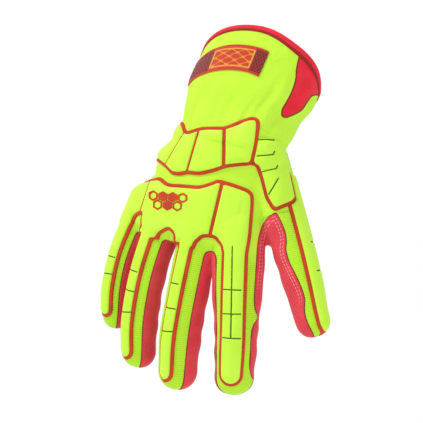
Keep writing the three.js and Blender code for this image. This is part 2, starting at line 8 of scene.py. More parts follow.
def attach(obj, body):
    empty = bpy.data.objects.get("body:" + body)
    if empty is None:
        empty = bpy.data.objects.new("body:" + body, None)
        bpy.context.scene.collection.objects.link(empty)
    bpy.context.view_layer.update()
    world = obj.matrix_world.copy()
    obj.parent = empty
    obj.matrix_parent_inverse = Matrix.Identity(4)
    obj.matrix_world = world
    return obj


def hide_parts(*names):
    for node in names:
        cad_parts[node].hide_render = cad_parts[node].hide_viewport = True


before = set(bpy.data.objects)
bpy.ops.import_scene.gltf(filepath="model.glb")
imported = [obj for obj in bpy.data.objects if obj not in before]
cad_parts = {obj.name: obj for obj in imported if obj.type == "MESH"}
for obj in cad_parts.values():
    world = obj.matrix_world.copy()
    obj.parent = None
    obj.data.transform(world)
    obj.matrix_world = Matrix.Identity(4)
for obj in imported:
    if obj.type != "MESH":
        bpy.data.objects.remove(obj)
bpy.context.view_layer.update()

# A right-hand impact glove. Lengths are in millimetres until a piece is made, in the row's frame:
# fingers down, back of the hand to -Y, thumb to +X, and the origin in the middle of the wrist.

# Driving sizes

PALM_BREADTH, PALM_LENGTH, KNUCKLE_WIDTH, KNUCKLE_DEPTH, PALM_ARCH = 100, 100, 108, 34, 5
WRIST_WIDTH, WRIST_DEPTH = 84, 54
CUFF_LENGTH, CUFF_WIDTH, CUFF_DEPTH, CUFF_LEAN, CUFF_SEAM = 90, 98, 78, 18, 14
RIM_LEVEL, RIM_RISE, RIM_FALL, RIM_TURN, RIM_MIDDLE = 58.5, 0.95, 0.62, 8, 0.61
RIM_SLACK, SLACK_TURN, SLACK_WIDTH = 4, 50, 28
WALL = 1.8
VIEW_TURN, VIEW_ROLL = 25, 15
# The fingers' own seams begin this far below the wrist. The hand's seam and the guards' edges lie
# this far behind its middle.
FINGER_SEAM, SIDE_SEAM, BACK_HALF = 86, 3, 6
BORDER, BASE_HEIGHT, PAD_SHOULDER, PAD_CROWN = 2.3, 1.3, 0.75, 1.9
BINDING_HEIGHT = 4.6
LABEL_TOP, LABEL_BOTTOM, LABEL_FROM, LABEL_TO, LABEL_TURN = 18.5, 41, -66, 25, -13.0
LABEL_MIDDLE = (LABEL_TOP + LABEL_BOTTOM) / 2
VOXEL = 1.2
SECTION_POWER, RIM_BEND, FOLD_TWIST = 0.92, 3, 6
HAND_FOOT, RIM_SPARE = -82, 10
# These stand for a place well away from an edge, and for one that a cut never crosses.
FAR, OUTSIDE = 30, 1e6
GROOVE_REACH, SNAP = 2.4, 0.06

# A root is in shares of the palm's breadth, the knuckles' depth and the palm's length. A finger's back
# faces turn degrees round from the hand's, and its seams are seam degrees from there. A strip has its start
# and end in shares of the length and its half width in radii, a bone its share of the length, splay and curl.
FINGERS = {
    "index": dict(
        root=(0.214, -0.03, -0.58), length=113, radius=15.4, root_girth=1.3, turn=12.5, seam=56,
        right_seam=96,
        strip=(0.16, 0.955, 0.54), bones=((0.467, 11.7, 5.7), (0.302, 9.4, 12.3), (0.231, 5, 18.4)),
    ),
    "middle": dict(
        root=(-0.08, -0.09, -0.6), length=118, radius=15.9, root_girth=1.02, turn=-18, seam=67, narrower=0.34,
        strip=(0.12, 0.99, 0.48), bones=((0.453, 0, 6.6), (0.311, -0.5, 12.9), (0.236, 3, 17.1)),
    ),
    "ring": dict(
        root=(-0.397, 0, -0.58), length=115, radius=14.2, root_girth=1.03, turn=-24, seam=64, narrower=0.24,
        strip=(0.12, 0.98, 0.49), bones=((0.459, -6.7, 6.8), (0.316, -1.2, 13.2), (0.225, 4.4, 18.8)),
    ),
    "pinky": dict(
        root=(-0.611, 0.17, -0.56), length=97, radius=11.4, root_girth=1.05, turn=-26, seam=62,
        strip=(0.2, 0.937, 0.52), bones=((0.467, -13.9, 9.5), (0.299, -4.9, 14.5), (0.234, 3.5, 16)),
    ),
    "thumb": dict(
        root=(0.245, 0.18, -0.02), length=128.2, radius=14.4, root_girth=1.5, turn=85, seam=71,
        left_seam=115, taper=0.14,
        strip=(0.36, 1.01, 0.6), bones=((0.49, 30.6, 6.6), (0.285, 30.4, 5.6), (0.225, 29.2, 7.1)),
    ),
}
FINGER_DEPTH = 0.95
GIRTH = dict(
    at=(0, 0.36, 0.56, 0.78, 1),
    root=(1, 0.85, 0.4, 0, 0),
    girth=(1, 1, 1, 1.02, 0.95),
    taper=(0, 0, 0, 0.4, 1),
)

# Sections of the sleeve up from the wrist and of the hand down from it, as shares.
CUFF_ROWS = dict(
    at=(0.07, 0.17, 0.31, 0.46, 0.67, 1.0, 1.2),
    wide=(0, 0.3, 0.61, 1.12, 0.86, 1.0, 1.05),
    deep=(0, 0.12, 0.38, 0.67, 0.92, 1.0, 1.02),
    lean=(0, 0.06, 0.25, 0.44, 0.67, 1.0, 1.15),
    side=(-0.029, -0.03, -0.039, -0.021, 0, 0.012, 0.02),
)
PALM_ROWS = dict(
    at=(0.05, 0.27, 0.4, 0.6, 0.74, 0.82),
    wide=(0.09, 0.5, 0.54, 0.9, 1.0, 0.75),
    deep=(0.2, 0.52, 0.62, 0.8, 1.0, 1.5),
    arch=(0, 0.3, 0.5, 0.8, 1, 1),
    side=(-0.03, -0.102, -0.092, -0.13, -0.135, -0.135),
)
WEB_ROWS = dict(
    at=(0.04, 0.2, 0.36, 0.5, 0.6, 0.66),
    x=(0.24, 0.33, 0.4, 0.44, 0.455, 0.45),
    y=(0.05, 0.06, 0.07, 0.08, 0.09, 0.09),
    wide=(0.12, 0.16, 0.18, 0.18, 0.14, 0.07),
    deep=(0.15, 0.16, 0.14, 0.11, 0.08, 0.045),
)

# Soft folds of the sleeve: turn, from and to along its length, depth in millimetres, width in degrees.
FOLDS = (
    (62, 0.1, 0.8, 2.6, 9), (44, 0.15, 0.9, -1.2, 10), (-70, 0.05, 0.6, 1.6, 12),
    (140, 0.1, 0.9, 2.4, 12), (-150, 0.1, 0.8, 2, 14), (33, 0.08, 0.66, 2, 4),
    (12, 0.1, 0.5, 1.1, 5), (-20, 0.12, 0.55, 0.9, 7), (78, 0.02, 0.45, 1.4, 5),
    (95, 0, 0.6, 1.2, 7), (115, 0, 0.5, -0.8, 6), (-100, 0.05, 0.7, 1, 8),
    (-125, 0, 0.5, -0.8, 7), (170, 0.05, 0.6, 1, 8), (-48, 0, 0.46, 1.5, 4),
    (-33, 0.04, 0.42, 1.7, 3.5), (-8, 0, 0.44, 1.5, 4), (3, 0.06, 0.5, 1.8, 3.5),
    (21, 0, 0.5, 1.9, 4), (52, 0, 0.46, 2, 5),
)

# Outlines as seen from VIEW_TURN, in shares of the palm's breadth and length.
WRIST_OUTLINE = (
    (-0.62, -0.22), (-0.53, -0.255), (-0.46, -0.282), (-0.394, -0.325), (-0.342, -0.317),
    (-0.287, -0.29), (-0.197, -0.278), (-0.109, -0.231), (-0.023, -0.173), (0.075, -0.135),
    (0.139, -0.114), (0.151, -0.09), (0.147, 0.0), (0.126, 0.181), (0.105, 0.212), (0.061, 0.207),
    (-0.005, 0.162), (-0.102, 0.089), (-0.211, 0.064), (-0.283, 0.041), (-0.376, -0.015),
    (-0.425, 0.065), (-0.62, 0.09),
)
BACK_OUTLINE = (
    (-0.72, -0.52), (-0.605, -0.465), (-0.533, -0.415), (-0.478, -0.388), (-0.407, -0.423),
    (-0.282, -0.398), (-0.17, -0.379), (-0.084, -0.325), (-0.052, -0.297), (0.081, -0.301),
    (0.184, -0.312), (0.224, -0.344), (0.286, -0.692), (0.275, -0.79), (0.128, -0.797),
    (0.098, -0.742), (0.03, -0.698), (-0.057, -0.714), (-0.1, -0.78), (-0.103, -0.83),
    (-0.245, -0.82), (-0.26, -0.75), (-0.315, -0.726), (-0.374, -0.776), (-0.395, -0.85),
    (-0.525, -0.83), (-0.515, -0.7), (-0.544, -0.666), (-0.585, -0.7), (-0.612, -0.8), (-0.75, -0.8),
)
THUMB_BASE_OUTLINE = (
    (0.139, -0.114), (0.191, -0.104), (0.252, -0.189), (0.297, -0.27), (0.327, -0.324),
    (0.401, -0.397), (0.459, -0.351), (0.515, -0.308), (0.53, -0.25), (0.518, -0.18),
    (0.482, -0.119), (0.447, -0.074), (0.4, -0.03), (0.345, 0.03), (0.3, 0.1), (0.14, 0.075),
)
# The pad beside the thumb covers its base's border above this level.
THUMB_BASE_BARE = -9
WEB_LEATHER = (
    (0.415, -0.41), (0.366, -0.469), (0.351, -0.527), (0.345, -0.606), (0.353, -0.682),
    (0.375, -0.792), (0.397, -0.903), (0.419, -1.014), (0.435, -1.087), (0.46, -1.15),
    (0.5, -1.194), (0.473, -1.271), (0.481, -1.346), (0.507, -1.456), (0.528, -1.567),
    (0.575, -1.66), (0.7, -1.7), (0.7, -1.3), (0.95, -1.3), (0.923, -1.212), (0.847, -1.132),
    (0.804, -1.058), (0.79, -0.976), (0.76, -0.922), (0.711, -0.858), (0.656, -0.795),
    (0.6, -0.732), (0.557, -0.658), (0.547, -0.591), (0.524, -0.535), (0.475, -0.47), (0.424, -0.414),
)
PATCH_OUTLINE = (
    (0.288, 0.95), (0.289, 0.66), (0.309, 0.572), (0.305, 0.485), (0.288, 0.403), (0.267, 0.336),
    (0.275, 0.291), (0.305, 0.28), (0.364, 0.323), (0.413, 0.371), (0.43, 0.43), (0.461, 0.512),
    (0.7, 0.58), (0.7, 0.95),
)
# Lines that part the pads, as seen from VIEW_TURN in millimetres: from, to and half their width.
WRIST_DIVIDERS = (
    ((-36.0, 6.0), (-46.6, -30), 0.35),
    ((-27.8, 10), (-29.0, -34), 0.75),
    ((-11.6, 14), (-2.2, -24), 1.25),
)
BACK_DIVIDERS = (
    ((-1.9, -20), (-0.2, -76), 1.25),
    ((-53.6, -36), (-55.6, -74), 0.45),
)
# Flex grooves of the pads, in the same view, and the shallow lines on them.
GROOVES = (
    ((20.1, -105.7), (31.8, -103.0)), ((24.7, -123.0), (36.0, -120.0)),
    ((29.3, -140.1), (40.4, -137.5)), ((18.2, -73.6), (34.3, -138.3)),
    ((-23.5, -112.0), (-12.9, -111.1)), ((-20.5, -130.8), (-10.7, -129.7)),
    ((-15.5, -148.5), (-7.4, -146.4)), ((-54.8, -110.2), (-45.8, -111.2)),
    ((-53.6, -126.1), (-44.3, -126.3)), ((-49.5, -144.0), (-41.3, -141.5)),
    ((-73.2, -105.5), (-65.6, -105.6)), ((-71.5, -119.6), (-63.8, -118.5)),
    ((70.4, -56.9), (79.5, -54.5)), ((80.2, -76.0), (90.0, -72.6)),
    ((14.4, 7.0), (26.0, 10.1)), ((17.5, -4.6), (27.3, -0.5)), ((27.3, -0.5), (27.4, 2.0)),
    ((24.2, -14.9), (32.4, -10.7)), ((32.4, -10.7), (31.9, -7.6)), ((33.6, -29.8), (35.8, -17.6)),
)
SHALLOW = (
    ((-22.4, -112.4), (-15.7, -147.1)), ((-19.2, -78.9), (-19.1, -108.4)), ((4.3, -39.2), (15.9, -36.1)),
    ((15.9, -36.1), (17.2, -61.4)), ((17.2, -61.4), (5.2, -63.0)), ((5.2, -63.0), (4.3, -39.2)),
)


# Small mathematics


def smoothstep(x, low, high):
    t = np.clip((x - low) / (high - low), 0, 1)
    return t * t * (3 - 2 * t)


def column(rows, at, key):
    """A column of a table at any place, on a curve that doesn't overshoot its rows."""
    x, y = np.array(rows["at"], float), np.array(rows[key], float)
    h, d = np.diff(x), np.diff(y) / np.diff(x)
    m = np.zeros(len(x))
    for i in range(1, len(x) - 1):
        if d[i - 1] * d[i] > 0:
            w1, w2 = 2 * h[i] + h[i - 1], h[i] + 2 * h[i - 1]
            m[i] = (w1 + w2) / (w1 / d[i - 1] + w2 / d[i])
    q = np.clip(np.asarray(at, float), x[0], x[-1])
    i = np.clip(np.searchsorted(x, q) - 1, 0, len(x) - 2)
    t = (q - x[i]) / h[i]
    a = y[i] * (1 + 2 * t) * (1 - t) ** 2 + y[i + 1] * t * t * (3 - 2 * t)
    return a + h[i] * (m[i] * t * (1 - t) ** 2 - m[i + 1] * t * t * (1 - t))


def section(z):
    """Half width, half depth, middle and arch of the cuff or the hand at a height."""
    z = np.asarray(z, float)
    up = lambda key: column(CUFF_ROWS, z / CUFF_LENGTH, key)
    down = lambda key: column(PALM_ROWS, -z / PALM_LENGTH, key)
    both = lambda key, cuff, palm: np.where(z >= 0, cuff * up(key), palm * down(key))
    wide = WRIST_WIDTH + both("wide", CUFF_WIDTH - WRIST_WIDTH, KNUCKLE_WIDTH - WRIST_WIDTH)
    deep = WRIST_DEPTH + both("deep", CUFF_DEPTH - WRIST_DEPTH, KNUCKLE_DEPTH - WRIST_DEPTH)
    y = np.where(z >= 0, CUFF_LEAN * up("lean"), 0)
    arch = np.where(z >= 0, 0, PALM_ARCH * down("arch"))
    return wide / 2, deep / 2, both("side", PALM_BREADTH, PALM_BREADTH), y, arch


def fold_depth(turn, z):
    at = z / CUFF_LENGTH
    total = np.zeros(np.broadcast(turn, z).shape)
    for fold_turn, start, end, depth, width in FOLDS:
        along = (at - (start + end) / 2) / ((end - start) / 2)
        away = (turn - fold_turn - FOLD_TWIST * along + 540) % 360 - 180
        total += depth * np.clip(1 - along**2, 0, None) ** 1.5 * np.exp(-((away / width) ** 2))
    return total


def section_point(angle, z):
    angle, z = np.broadcast_arrays(np.asarray(angle, float), np.asarray(z, float))
    wide, deep, x, y, arch = section(z)
    inward = fold_depth(np.degrees(angle) + 90, z)
    u, v = (np.sign(q) * np.abs(q) ** SECTION_POWER for q in (np.cos(angle), np.sin(angle)))
    return np.stack([x + (wide - inward) * u, y + (deep - inward) * v + arch * u * u, z], -1)


def facing(turn):
    a = math.radians(turn)
    return np.array([math.sin(a), -math.cos(a), 0]), np.array([math.cos(a), math.sin(a), 0])


VIEW_OUT, VIEW_ACROSS = facing(VIEW_TURN)


def turn_of(points):
    """Degrees round the form's middle line: 0 on the back of the hand, 90 on the thumb's side."""
    _, _, x, y, _ = section(points[..., 2])
    return np.degrees(np.arctan2(points[..., 0] - x, y - points[..., 1]))


def rim_plane(points):
    """Height of the mouth's rim over each point's place, with the slack beside the patch."""
    ahead = points @ facing(RIM_TURN)[0] + RIM_MIDDLE * CUFF_LEAN
    bent = np.sqrt(ahead**2 + RIM_BEND**2)
    slack = RIM_SLACK * np.exp(-(((turn_of(points) - SLACK_TURN) / SLACK_WIDTH) ** 2))
    return RIM_LEVEL + ahead * (RIM_RISE + RIM_FALL) / 2 + bent * (RIM_RISE - RIM_FALL) / 2 - slack


def rim_height(angle):
    z = np.full(np.shape(angle), float(RIM_LEVEL))
    for _ in range(20):
        z = (z + rim_plane(section_point(angle, z))) / 2
    return z


def finger_path(finger):
    """Points along a finger's middle, their tangents and distances, run on straight at both ends."""
    x, y, z = finger["root"]
    points = [np.array([x * PALM_BREADTH, y * KNUCKLE_DEPTH, z * PALM_LENGTH])]
    for share, splay, curl in finger["bones"]:
        way = np.array([math.tan(math.radians(splay)), math.tan(math.radians(curl)), -1])
        points.append(points[-1] + way / np.linalg.norm(way) * share * finger["length"])
    p = [2 * points[0] - points[1], *points, 2 * points[-1] - points[-2]]
    line = []
    for i in range(1, len(p) - 2):
        a, b, c, d = p[i - 1 : i + 3]
        ta, tb, tc = (np.linalg.norm(q) ** 0.5 for q in (b - a, c - b, d - c))
        m1 = tb * ((b - a) / ta - (c - a) / (ta + tb) + (c - b) / tb)
        m2 = tb * ((c - b) / tb - (d - b) / (tb + tc) + (d - c) / tc)
        t = np.linspace(0, 1, 60, endpoint=i == len(p) - 3)[:, None]
        line.append(b + m1 * t + (3 * (c - b) - 2 * m1 - m2) * t**2 + (2 * (b - c) + m1 + m2) * t**3)
    line = np.concatenate(line)
    s = np.concatenate([[0], np.cumsum(np.linalg.norm(np.diff(line, axis=0), axis=1))])
    tangent = np.gradient(line, s, axis=0)
    tangent /= np.linalg.norm(tangent, axis=1)[:, None]
    return line, tangent, s


def path_at(path, s):
    line, tangent, at = path
    inside = np.clip(s, 0, at[-1])
    point = np.stack([np.interp(inside, at, line[:, k]) for k in range(3)], -1)
    way = np.stack([np.interp(inside, at, tangent[:, k]) for k in range(3)], -1)
    way /= np.linalg.norm(way, axis=-1)[..., None]
    return point + way * (s - inside)[..., None], way


def finger_axes(finger, tangent):
    across = np.cross(np.broadcast_to(facing(finger["turn"])[0], tangent.shape), tangent)
    across /= np.linalg.norm(across, axis=-1)[..., None]
    return across, np.cross(tangent, across)


# The master form: the outside of the fabric, as one smooth mesh


def loft(rings):
    """A closed mesh over rings of equally many points, with a point at both ends."""
    rings = np.asarray(rings)
    rows, count = rings.shape[:2]
    points = np.concatenate([rings.reshape(-1, 3), rings[[0, -1]].mean(1)])
    a = np.arange((rows - 1) * count).reshape(rows - 1, count)
    b = np.roll(a, -1, 1)
    sides = np.stack([a, b, b + count, a + count], -1).reshape(-1, 4).tolist()
    last, pole = (rows - 1) * count, rows * count
    pairs = [(i, (i + 1) % count) for i in range(count)]
    caps = [[pole, j, i] for i, j in pairs] + [[pole + 1, last + i, last + j] for i, j in pairs]
    return points, sides + caps


def body_rings():
    angles = np.linspace(0, 2 * np.pi, 120, endpoint=False)
    rings = [section_point(angles, np.full(120, z)) for z in np.linspace(HAND_FOOT, CUFF_SEAM, 60)]
    top = rim_height(angles)
    for share in np.linspace(0.03, 1, 50):
        rings.append(section_point(angles, CUFF_SEAM + (top + RIM_SPARE - CUFF_SEAM) * share))
    return rings


def finger_rings(finger):
    path = finger_path(finger)
    length, radius, girth = path[2][-1], finger["radius"], finger["root_girth"]
    taper = finger.get("taper", 0)
    angles = np.linspace(0, 2 * np.pi, 56, endpoint=False)
    rings = []

    def add(centre, tangent, wide, deep):
        across, out = finger_axes(finger, tangent[None])
        ring = np.outer(np.cos(angles), across[0] * wide) + np.outer(np.sin(angles), out[0] * deep)
        rings.append(centre + ring)

    root, way = path[0][0], path[1][0]
    for back, size in ((0.55, 0.45), (0.3, 0.82)):
        centre = root * np.array([1 - back * 0.5, 1, 1 - back])
        add(centre, way, radius * girth * size, radius * FINGER_DEPTH * size)
    for share in np.linspace(0, 1, 40):
        point, tangent = path_at(path, np.array([share * length]))
        size = radius * column(GIRTH, share, "girth") * (1 - taper * column(GIRTH, share, "taper"))
        wide = size * (1 + (girth - 1) * column(GIRTH, share, "root"))
        add(point[0], tangent[0], wide, size * FINGER_DEPTH)
    tip = radius * GIRTH["girth"][-1] * (1 - taper)
    for turn in np.radians(np.linspace(8, 86, 14)):
        point, tangent = path_at(path, np.array([length + tip * math.sin(turn)]))
        size = tip * math.cos(turn) ** 0.85
        add(point[0], tangent[0], size, size * FINGER_DEPTH)
    return rings


def web_rings():
    """The skin between the palm and the thumb."""
    angles = np.linspace(0, 2 * np.pi, 48, endpoint=False)
    rings = []
    for at in np.linspace(WEB_ROWS["at"][-1], WEB_ROWS["at"][0], 30):
        x, y, wide, deep = (column(WEB_ROWS, at, key) * PALM_BREADTH for key in ("x", "y", "wide", "deep"))
        level = np.full(len(angles), -at * PALM_LENGTH)
        rings.append(np.stack([x + wide * np.cos(angles), y + deep * np.sin(angles), level], -1))
    return rings


def new_object(name, points, faces):
    """A piece in metres from points in millimetres."""
    mesh = bpy.data.meshes.new(name)
    mesh.from_pydata((np.asarray(points) * 0.001).tolist(), [], faces)
    mesh.update()
    piece = bpy.data.objects.new(name, mesh)
    bpy.context.scene.collection.objects.link(piece)
    return piece


def master_form():
    points, faces = [], []
    count = 0
    for rings in [body_rings(), web_rings(), *(finger_rings(f) for f in FINGERS.values())]:
        p, f = loft(rings)
        points.append(p)
        faces += [[i + count for i in face] for face in f]
        count += len(p)
    rough = new_object("rough", np.concatenate(points), faces)
    remesh = rough.modifiers.new("remesh", "REMESH")
    remesh.mode = "VOXEL"
    remesh.voxel_size = VOXEL / 1000
    made = rough.evaluated_get(bpy.context.evaluated_depsgraph_get()).to_mesh()
    p = np.zeros(len(made.vertices) * 3, np.float32)
    made.vertices.foreach_get("co", p)
    loops = np.zeros(len(made.loops), np.int32)
    made.loops.foreach_get("vertex_index", loops)
    quads = loops.reshape(-1, 4)
    bpy.data.objects.remove(rough)
    return p.reshape(-1, 3).astype(float) * 1000, quads


def half_edges(faces):
    return np.stack([faces.T, np.roll(faces, -1, 1).T], -1).reshape(-1, 2)


def neighbours(quads, count):
    a, b = np.unique(np.sort(half_edges(quads), 1), axis=0).T
    i, j = np.concatenate([a, b]), np.concatenate([b, a])
    return i, j, np.bincount(i, minlength=count)


def averaged(values, links):
    i, j, count = links
    return np.stack([np.bincount(i, values[j, k], len(values)) / count for k in range(values.shape[1])], -1)


def smoothed(points, links, rounds):
    for _ in range(rounds):
        points = points + 0.55 * (averaged(points, links) - points)
        points = points - 0.57 * (averaged(points, links) - points)
    return points


def vertex_normals(points, triangles):
    a, b, c = points[triangles.T]
    face = np.cross(b - a, c - a)
    total = np.zeros_like(points)
    for k in range(3):
        for axis in range(3):
            total[:, axis] += np.bincount(triangles[:, k], face[:, axis], len(points))
    return total / np.maximum(np.linalg.norm(total, axis=1), 1e-12)[:, None]


points, quads = master_form()
links = neighbours(quads, len(points))
points = smoothed(points, links, 14)
triangles = np.concatenate([quads[:, [0, 1, 2]], quads[:, [0, 2, 3]]])
normals = vertex_normals(points, triangles)
for _ in range(3):
    normals = averaged(normals, links)
    normals /= np.linalg.norm(normals, axis=1)[:, None]

# Fields over the master form: distances in millimetres, below zero inside


def sized(outline):
    return np.array(outline) * (PALM_BREADTH, PALM_LENGTH)


def rounded(outline, rounds=2):
    """A closed outline with its corners cut soft."""
    for _ in range(rounds):
        after = np.roll(outline, -1, 0)
        step = 0.18 * (after - outline)
        outline = np.stack([outline + step, after - step], 1).reshape(-1, 2)
    return outline


def segment_distance(p, a, b):
    a, b = np.asarray(a, float), np.asarray(b, float)
    t = np.clip(((p - a) @ (b - a)) / ((b - a) @ (b - a)), 0, 1)
    return np.linalg.norm(p - a - t[:, None] * (b - a), axis=1)


def polygon_distance(p, outline):
    """Distance to a closed outline, below zero inside it."""
    near = np.full(len(p), np.inf)
    inside = np.zeros(len(p), bool)
    for a, b in zip(outline, np.roll(outline, -1, 0)):
        near = np.minimum(near, segment_distance(p, a, b))
        crosses = (a[1] > p[:, 1]) != (b[1] > p[:, 1])
        x = a[0] + (p[:, 1] - a[1]) * (b[0] - a[0]) / (b[1] - a[1] if b[1] != a[1] else 1e-9)
        inside ^= crosses & (p[:, 0] < x)
    return np.where(inside, -near, near)


def blended_min(a, b, size):
    h = np.clip(0.5 + 0.5 * (b - a) / size, 0, 1)
    return b * (1 - h) + a * h - size * h * (1 - h)


def even_gradient(field, low=0.3):
    """The field divided by its slope on the surface, so that its steps are true millimetres."""
    a, b, c = points[triangles.T]
    normal = np.cross(b - a, c - a)
    area = np.linalg.norm(normal, axis=1)
    unit = normal / np.maximum(area, 1e-12)[:, None]
    fa, fb, fc = field[triangles.T]
    slope = fa[:, None] * np.cross(unit, c - b) + fb[:, None] * np.cross(unit, a - c)
    slope += fc[:, None] * np.cross(unit, b - a)
    steep = np.linalg.norm(slope, axis=1) / np.maximum(area, 1e-12)
    total = sum(np.bincount(triangles[:, k], steep * area, len(points)) for k in range(3))
    weight = sum(np.bincount(triangles[:, k], area, len(points)) for k in range(3))
    steep = (total / np.maximum(weight, 1e-12))[:, None]
    for _ in range(4):
        steep = averaged(steep, links)
    return field / np.clip(steep[:, 0], low, 1.6)


view = np.stack([points @ VIEW_ACROSS, points[:, 2]], 1)
z = points[:, 2]


# Points handled at a time, and how far a finger's middle line is run on at its ends.
BATCH, REACH_BACK, REACH_ON = 20000, 20, 25


def finger_fields(finger):
    """Distance along the finger, round it (radians, 0 on its back) and from its middle, and its length."""
    path = finger_path(finger)
    s_all = np.linspace(-REACH_BACK, path[2][-1] + REACH_ON, 170)
    line, way = path_at(path, s_all)
    near = np.zeros(len(points), int)
    for start in range(0, len(points), BATCH):
        part = slice(start, start + BATCH)
        near[part] = ((points[part, None] - line[None]) ** 2).sum(2).argmin(1)
    step = ((points - line[near]) * way[near]).sum(1)
    s = s_all[near] + step
    centre, tangent = path_at(path, s)
    across, out = finger_axes(finger, tangent)
    away = points - centre
    round_it = np.arctan2((away * across).sum(1), (away * out).sum(1))
    return s, round_it, np.linalg.norm(away, axis=1), path[2][-1]


finger_data = {name: finger_fields(finger) for name, finger in FINGERS.items()}
names = list(FINGERS)
closeness = np.stack([finger_data[n][2] / FINGERS[n]["radius"] for n in names])
nearest = closeness[:4].argmin(0)
thumb_s, thumb_round, _, _ = finger_data["thumb"]
on_thumb = smoothstep(thumb_s, 34, 58) * smoothstep(1.6 - closeness[4], 0, 0.2)
on_thumb = on_thumb * (closeness[:4].min(0) > closeness[4])
on_fingers = smoothstep(-z, FINGER_SEAM - 16, FINGER_SEAM) * (1 - (on_thumb > 0))

# Leather is below zero: the palm, the fingers' undersides and the web beside the index finger.
seam_back = 17 * smoothstep(points[:, 0], 5, 25) * smoothstep(z, -38, -12)
leather = SIDE_SEAM + seam_back - points[:, 1]
for k, name in enumerate(names[:4]):
    finger = FINGERS[name]
    s, turn, _, _ = finger_data[name]
    seam = math.radians(finger["seam"])
    right = math.radians(finger.get("right_seam", finger["seam"]))
    wave = 0.05 * np.sin(s / 6.5) * (name != "index")
    mine = finger["radius"] * np.where(turn > 0, right - turn, seam + turn + wave)
    leather = np.where(nearest == k, leather + on_fingers * (mine - leather), leather)
right, left = (math.radians(FINGERS["thumb"][key]) for key in ("seam", "left_seam"))
mine = FINGERS["thumb"]["radius"] * np.where(thumb_round > 0, right - thumb_round, left + thumb_round)
leather = leather + on_thumb * (mine - leather)
web = polygon_distance(view, rounded(sized(WEB_LEATHER), 1))
leather = np.minimum(leather, web)
stitched = smoothstep(normals @ VIEW_OUT, -0.3, -0.1) * smoothstep(z, -104, -94)
for _ in range(2):
    leather = averaged(leather[:, None], links)[:, 0]
leather = even_gradient(leather, 0.4)


def strip_field(name, rounded_start):
    finger = FINGERS[name]
    s, turn, far, length = finger_data[name]
    start, end, wide = finger["strip"]
    half = finger["radius"] * math.asin(wide)
    aside = turn * finger["radius"]
    past = np.maximum(s - end * length, 0)
    before = np.maximum(start * length - s, 0) * rounded_start
    hidden = finger["radius"] * finger.get("narrower", 0) * smoothstep(-turn, -0.1, 0.3)
    field = np.hypot(aside, 1.12 * past + before) - half + hidden * smoothstep(s, 8, 26)
    return np.where(far > 1.8 * finger["radius"], FAR, field)


def guard_field(outline):
    field = polygon_distance(view, rounded(sized(outline)))
    return np.maximum(field, points[:, 1] - BACK_HALF)


wrist_field = even_gradient(guard_field(WRIST_OUTLINE))
back_field = guard_field(BACK_OUTLINE)
for k, name in enumerate(names[:4]):
    strip = np.where((nearest == k) | (z > -FINGER_SEAM), strip_field(name, 1), FAR)
    alone = (nearest == k) & (z < -FINGER_SEAM + 2)
    back_field = np.where(alone, strip, blended_min(back_field, strip, 1.5))
back_field = even_gradient(back_field)
base_polygon = guard_field(THUMB_BASE_OUTLINE)
thumb_base_field = even_gradient(np.maximum(base_polygon, BORDER + 0.3 - wrist_field))
off_thumb = (thumb_s < 20) | (closeness[4] > 1.5)
thumb_strip = np.where(off_thumb, FAR, strip_field("thumb", 0))
thumb_field = even_gradient(np.maximum(thumb_strip, BORDER + 0.2 - base_polygon))
thumb_top = even_gradient(np.maximum(thumb_strip + BORDER / 2, BORDER / 2 + 0.3 - base_polygon))


def line_field(lines):
    """Distance to the nearest of the lines less its half width, negated: above zero on a line."""
    best = np.full(len(points), -np.inf)
    for a, b, half in lines:
        best = np.maximum(best, half - segment_distance(view, a, b))
    return best


def nearest_line(places, lines):
    return np.minimum.reduce([segment_distance(places, a, b) for a, b in lines])


patch = polygon_distance(view, rounded(sized(PATCH_OUTLINE)))
patch = np.where(points @ VIEW_OUT > -12, patch, FAR)
on_finger_path, finger_turn = np.zeros(len(points)), np.zeros(len(points))
for k, name in enumerate(names):
    here = (nearest == k) & (on_thumb < 0.5) if name != "thumb" else on_thumb >= 0.5
    on_finger_path[here] = finger_data[name][0][here]
    finger_turn[here] = finger_data[name][1][here] * FINGERS[name]["radius"]

FIELDS = dict(
    leather=leather, wrist=wrist_field, back=back_field, thumb_base=thumb_base_field, thumb=thumb_field,
    wrist_line=line_field(WRIST_DIVIDERS), back_line=line_field(BACK_DIVIDERS),
    web=web, stitched=stitched, thumb_top=thumb_top, below=rim_plane(points) - z, turn=turn_of(points),
    patch=patch, z=z, across=view[:, 0], along=on_finger_path, round=finger_turn,
    on_finger=np.maximum(on_fingers, on_thumb),
)


